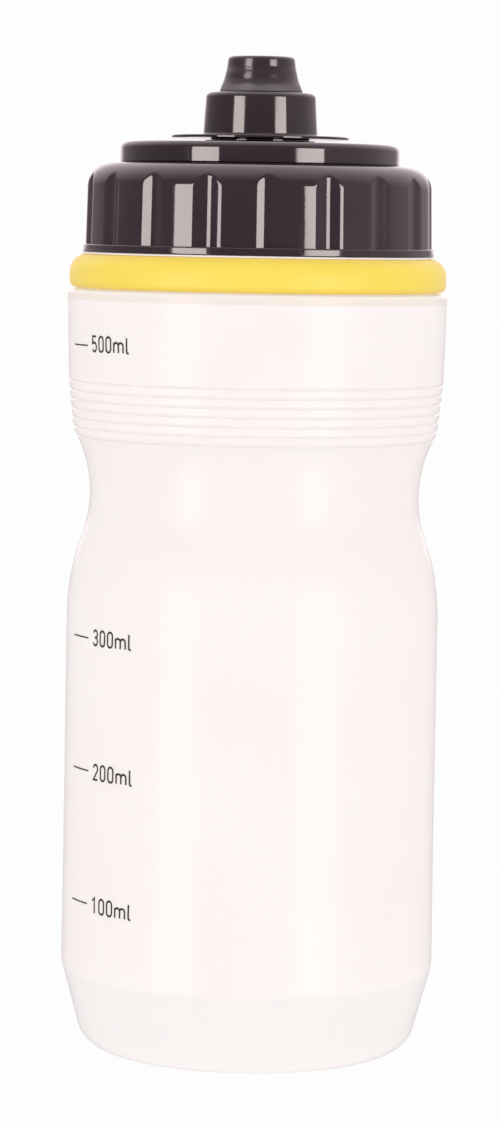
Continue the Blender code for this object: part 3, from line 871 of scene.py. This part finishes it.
def make_round_seal(name, node, body, surface):
    """O-ring of round section in the box of its CAD node."""
    bottom, top, radius = box_mm(node)
    outline = arc((radius - SEAL_SECTION, (bottom + top) / 2), SEAL_SECTION, 0.0, 345.0, 23)
    add_piece(name, turned_mesh(outline, even_angles(SMALL_STEPS)), surface, body, node)


def make_flat_ring(name, node, body, inner, surface, edge):
    """Flat ring with rounded edges in the box of its CAD node."""
    bottom, top, radius = box_mm(node)
    outline = rounded([(inner, bottom, edge), (radius, bottom, edge),
                       (radius, top, edge), (inner, top, edge)])
    add_piece(name, turned_mesh(outline, even_angles(SMALL_STEPS)), surface, body, node)


def make_stem(surface):
    """Hollow stem with its flange and seal groove, and the centre pin on its spokes."""
    bottom, pin_top, foot = box_mm("valve_stem")
    flange_top = HUB_SHELF - CLEARANCE
    corners = [(STEM_BORE, bottom, 0.2), (foot, bottom, 0.2), (foot, flange_top, 0.2),
               (STEM_RADIUS, flange_top, 0.3), (STEM_RADIUS, STEM_STOP, 0.2),
               (STEM_FLANGE, STEM_STOP, 0.15), (STEM_FLANGE, STEM_GROOVE[0], 0.15),
               (STEM_RADIUS, STEM_GROOVE[0], 0.15), (STEM_RADIUS, STEM_GROOVE[1], 0.15),
               (STEM_FLANGE, STEM_GROOVE[1], 0.1), (STEM_FLANGE, STEM_TOP, 0.25),
               (STEM_BORE, STEM_TOP, 0.3)]
    bm = turned_mesh(rounded(corners), even_angles(SMALL_STEPS))
    pin = rounded([(0.0, PIN_BOTTOM), (PIN_RADIUS, PIN_BOTTOM, 0.8), (PIN_RADIUS, pin_top, 0.6),
                   (0.0, pin_top)])
    add_to(bm, turned_mesh(pin, even_angles(PIN_STEPS)))
    for i in range(SPOKES):
        add_to(bm, spoke(math.tau * i / SPOKES))
    add_piece("stem", bm, surface, "cap", "valve_stem")


def add_to(bm, other):
    """Adds the geometry of one mesh to another."""
    mesh = bpy.data.meshes.new("part")
    other.to_mesh(mesh)
    other.free()
    bm.from_mesh(mesh)
    bpy.data.meshes.remove(mesh)


def spoke(angle):
    """Radial web from the centre pin to the wall of the stem, with rounded long edges."""
    start = PIN_RADIUS - SPOKE_IN_PIN
    end = (STEM_BORE + STEM_RADIUS) / 2
    bm = bmesh.new()
    bmesh.ops.create_cube(bm, size=1.0)
    bmesh.ops.scale(bm, verts=bm.verts,
                    vec=((end - start) * MM, SPOKE_WIDTH * MM, SPOKE_HEIGHT * MM))
    long_edges = [e for e in bm.edges if abs(e.verts[0].co.x - e.verts[1].co.x) > 1e-6]
    bmesh.ops.bevel(bm, geom=long_edges, offset=SPOKE_ROUND * MM, segments=3, profile=0.5,
                    affect='EDGES')
    middle = PIN_BOTTOM + SPOKE_ABOVE_PIN_FOOT + SPOKE_HEIGHT / 2
    bmesh.ops.translate(bm, verts=bm.verts, vec=((start + end) / 2 * MM, 0.0, middle * MM))
    bmesh.ops.rotate(bm, verts=bm.verts, cent=(0, 0, 0), matrix=Matrix.Rotation(angle, 3, 'Z'))
    return bm


# ---------------------------------------------------------------- spout

def make_collar(surface):
    """Pull-up collar with its thin brim, and the chimney that holds the mouthpiece."""
    lip_bottom, chimney_top, brim = box_mm("spout_collar")
    brim_bottom = box_mm("valve_plate")[1] + BRIM_GAP
    lip_top = lip_bottom + COLLAR_LIP
    stem_hole = STEM_RADIUS + CLEARANCE
    bead = CHIMNEY_RADIUS + CHIMNEY_BEAD_SIZE
    corners = [(stem_hole, lip_bottom, 0.2), (COLLAR_SLEEVE, lip_bottom, 0.2),
               (COLLAR_SLEEVE, brim_bottom, 0.2), (brim, brim_bottom, 0.1),
               (brim, brim_bottom + BRIM_EDGE, 0.25),
               (COLLAR_FOOT_RADIUS, brim_bottom + BRIM_ROOT, 0.25),
               (COLLAR_TOP_RADIUS, COLLAR_TOP, 1.0), (CHIMNEY_RADIUS, COLLAR_TOP, 0.3),
               (CHIMNEY_RADIUS, CHIMNEY_BEAD[0], 0.1), (bead, CHIMNEY_BEAD[0] + 0.3, 0.1),
               (bead, CHIMNEY_BEAD[1] - 0.7, 0.2), (CHIMNEY_RADIUS, CHIMNEY_BEAD[1], 0.2),
               (CHIMNEY_RADIUS, chimney_top, 0.3), (CHIMNEY_BORE, chimney_top, 0.3),
               (CHIMNEY_BORE, COLLAR_ROOF, 0.3), (COLLAR_BORE, COLLAR_ROOF, 0.3),
               (COLLAR_BORE, lip_top, 0.2), (stem_hole, lip_top, 0.2)]
    add_piece("pull_collar", turned_mesh(rounded(corners), even_angles(ROUND_STEPS)), surface,
              "spout", "spout_collar")


def make_tip(surface):
    """Mouthpiece, which flares to its foot and grips the bead of the chimney."""
    top = box_mm("bite_tip")[1]
    foot = COLLAR_TOP + TIP_SEAT
    flare = TIP_FOOT_RADIUS - TIP_TOP_RADIUS
    bore = CHIMNEY_RADIUS + CLEARANCE
    inside = box_mm("spout_collar")[1] + CLEARANCE
    shelf = bore + CHIMNEY_BEAD_SIZE
    outer = [(TIP_FOOT_RADIUS - 0.05, foot, 0.25)]
    for share in steps(0.06, 0.86, 0.05):
        radius = TIP_TOP_RADIUS + flare * (1.0 - share / TIP_STRAIGHT_FROM) ** 2
        outer.append((radius, foot + (top - foot) * share))
    corners = [(bore, foot, 0.2)] + outer
    corners += [(TIP_TOP_RADIUS, top, 0.75), (TIP_ORIFICE, top, 0.5), (TIP_ORIFICE, inside, 0.2),
                (bore, inside, 0.2), (bore, CHIMNEY_BEAD[1] + CLEARANCE, 0.1),
                (shelf, CHIMNEY_BEAD[1] - 0.3, 0.2), (shelf, CHIMNEY_BEAD[0], 0.1),
                (bore, CHIMNEY_BEAD[0] - 0.4, 0.1)]
    return add_piece("mouthpiece", turned_mesh(rounded(corners), even_angles(ROUND_STEPS)), surface,
                     "spout", "bite_tip")


# ---------------------------------------------------------------- studio

def make_camera():
    """Camera at the viewing angle of the photograph."""
    data = bpy.data.cameras.new("camera")
    data.sensor_width = CAMERA_SENSOR
    data.lens = CAMERA_LENS
    camera = bpy.data.objects.new("camera", data)
    bpy.context.scene.collection.objects.link(camera)
    tilt = Matrix.Rotation(math.radians(90.0 - CAMERA_DOWN_DEG), 4, 'X')
    roll = Matrix.Rotation(math.radians(CAMERA_ROLL_DEG), 4, 'Z')
    camera.matrix_world = Matrix.Translation(CAMERA_PLACE_M) @ tilt @ roll
    bpy.context.scene.camera = camera


def make_floor():
    """White paper, evenly lit, so that it shows no shadow."""
    bm = bmesh.new()
    bmesh.ops.create_grid(bm, x_segments=1, y_segments=1, size=FLOOR_SIDE_M / 2)
    mesh = bpy.data.meshes.new("floor")
    bm.to_mesh(mesh)
    bm.free()
    paper = bpy.data.materials.new("paper")
    paper.use_nodes = True
    nodes = paper.node_tree.nodes
    nodes.clear()
    glow = nodes.new("ShaderNodeEmission")
    glow.inputs["Strength"].default_value = PAPER_WHITE
    output = nodes.new("ShaderNodeOutputMaterial")
    paper.node_tree.links.new(glow.outputs["Emission"], output.inputs["Surface"])
    mesh.materials.append(paper)
    floor = bpy.data.objects.new("floor", mesh)
    floor.location.z = -FLOOR_BELOW_M
    floor.visible_glossy = False
    floor.visible_shadow = False
    bpy.context.scene.collection.objects.link(floor)


def make_strips(tip):
    """Two tall strip lights that show only as reflections. The tip alone mirrors their tops."""
    middle, high, top = STRIP_TIP_LEVELS_M
    levels = [(azimuth, *STRIP_LEVELS_M, 1.0, False) for azimuth in STRIP_AZIMUTHS]
    levels += [(azimuth, middle, high, 1.0, True) for azimuth in STRIP_AZIMUTHS]
    levels.append((STRIP_AZIMUTHS[0], high, top, STRIP_TOP_SHARE, True))
    tip_only = bpy.data.collections.new("tip_only")
    tip_only.objects.link(tip)
    for i, (azimuth, low, up, share, only_tip) in enumerate(levels):
        data = bpy.data.lights.new("strip_%d" % (i + 1), 'AREA')
        data.shape = 'RECTANGLE'
        data.size = STRIP_WIDTH_M
        data.size_y = up - low
        data.color = STRIP_COLOUR
        data.energy = share * STRIP_RADIANCE * math.pi * STRIP_WIDTH_M * (up - low)
        strip = bpy.data.objects.new(data.name, data)
        turn = Matrix.Rotation(math.radians(azimuth), 4, 'Z')
        away = Matrix.Translation((0.0, -STRIP_DISTANCE_M, (low + up) / 2))
        strip.matrix_world = turn @ away @ Matrix.Rotation(math.radians(90.0), 4, 'X')
        strip.visible_camera = False
        strip.visible_diffuse = False
        strip.visible_transmission = False
        bpy.context.scene.collection.objects.link(strip)
        if only_tip:
            strip.light_linking.receiver_collection = tip_only


def make_world():
    """Even white surroundings. What the object mirrors of them is dim in front and bright above."""
    world = bpy.data.worlds.new("studio")
    world.use_nodes = True
    bpy.context.scene.world = world
    world.node_tree.nodes.clear()
    made = Nodes(world.node_tree)
    toward = made.split(made.nodes.new("ShaderNodeTexCoord").outputs["Generated"])
    rays = made.nodes.new("ShaderNodeLightPath").outputs

    level = made.between(toward["X"], MIRROR_RIGHT_X, MIRROR_SIDE, MIRROR_RIGHT)
    behind = made.combine('MULTIPLY', made.between(toward["Y"], MIRROR_BEHIND_Y),
                          made.between(toward["Z"], MIRROR_BEHIND_Z))
    level = made.mix(behind, level, MIRROR_BEHIND, 'FLOAT')
    up = made.combine('MULTIPLY_ADD', toward["Y"], MIRROR_LEAN, toward["Z"])
    mirrored = made.mix(made.between(up, MIRROR_TOP_Z), level, MIRROR_TOP, 'FLOAT')
    sideways = made.combine('ABSOLUTE', toward["X"])
    soft = made.between(sideways, SOFT_SIDE_X, SOFT_FRONT, SOFT_SIDE)

    strength = made.mix(rays["Is Camera Ray"], soft, PAPER_WHITE, 'FLOAT')
    strength = made.mix(rays["Is Glossy Ray"], strength, mirrored, 'FLOAT')
    colour = made.mix(rays["Is Glossy Ray"], (1.0, 1.0, 1.0), MIRROR_COLOUR)
    background = made.nodes.new("ShaderNodeBackground")
    made.links.new(colour, background.inputs["Color"])
    made.links.new(strength, background.inputs["Strength"])
    output = made.nodes.new("ShaderNodeOutputWorld")
    made.links.new(background.outputs["Background"], output.inputs["Surface"])


def main():
    """Makes the studio and every piece."""
    bpy.context.scene.view_settings.view_transform = 'Standard'
    make_camera()
    make_floor()
    make_world()
    translucent = translucent_plastic()
    black = black_plastic()
    seal = seal_silicone()
    make_body(translucent)
    make_neck_ring(yellow_rubber())
    make_marks(scale_ink())
    make_cap(black)
    make_flat_ring("gasket", "cap_gasket", "cap_seal", BORE_SEAL_RADIUS + CLEARANCE + 0.05, seal,
                   0.25)
    make_plate(black)
    make_round_seal("hub_seal", "hub_o_ring", "cap", seal)
    make_flat_ring("snap_ring", "retaining_ring", "cap", CAP_HOLE, black, 0.3)
    make_stem(black)
    make_round_seal("stem_seal", "stem_o_ring", "spout_seal", seal)
    make_collar(black)
    tip = make_tip(soft_black_plastic())
    make_strips(tip)


main()
